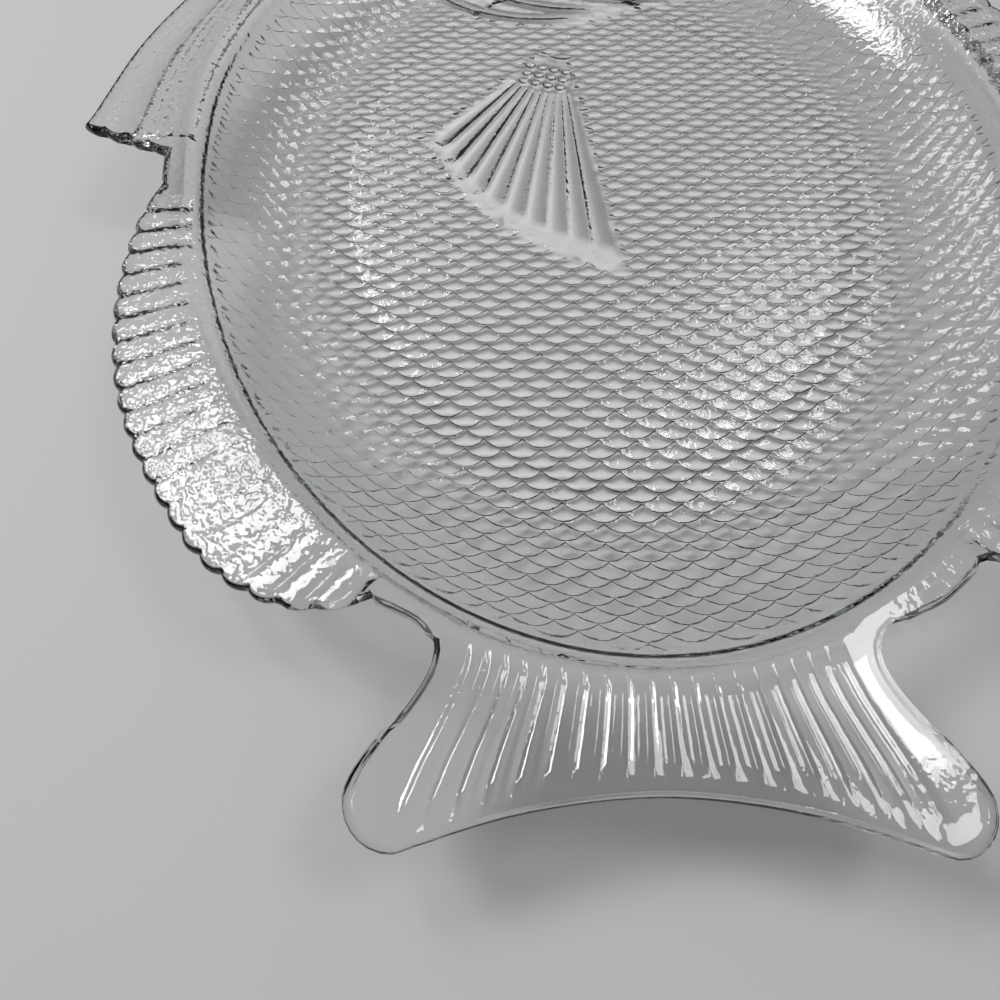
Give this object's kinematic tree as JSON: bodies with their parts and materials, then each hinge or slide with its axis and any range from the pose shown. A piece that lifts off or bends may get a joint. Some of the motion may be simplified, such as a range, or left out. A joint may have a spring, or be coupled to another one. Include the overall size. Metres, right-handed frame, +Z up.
{
  "type": "fish shaped platter",
  "caption": "Shallow serving platter of clear pressed glass in the outline of a fish, with a scaled flat floor, rising wall, fluted fins and a flared tail, standing on a low foot ring.",
  "frame": {"origin": "centre of the whole outline, on the table plane that the foot ring stands on", "axes": "+X towards the tail, +Y towards the back fin, +Z up out of the dish"},
  "size_m": [0.3982, 0.3044, 0.0308],
  "materials": {
    "pressed_glass": "clear soda-lime glass, pressed, with a smooth fire-polished upper face and a patterned underside"
  },
  "bodies": {
    "root": {"floor_plate": "pressed_glass", "floor_scales": "pressed_glass", "foot_ring": "pressed_glass", "tail_wall": "pressed_glass", "back_wall": "pressed_glass", "belly_wall": "pressed_glass", "head_wall": "pressed_glass", "rim_bands": "pressed_glass", "anal_fin": "pressed_glass", "dorsal_fin": "pressed_glass", "pelvic_fin": "pressed_glass", "tail_fin": "pressed_glass", "pectoral_fin": "pressed_glass", "gill_cover": "pressed_glass", "eye": "pressed_glass", "mouth": "pressed_glass"}
  },
  "joints": []
}
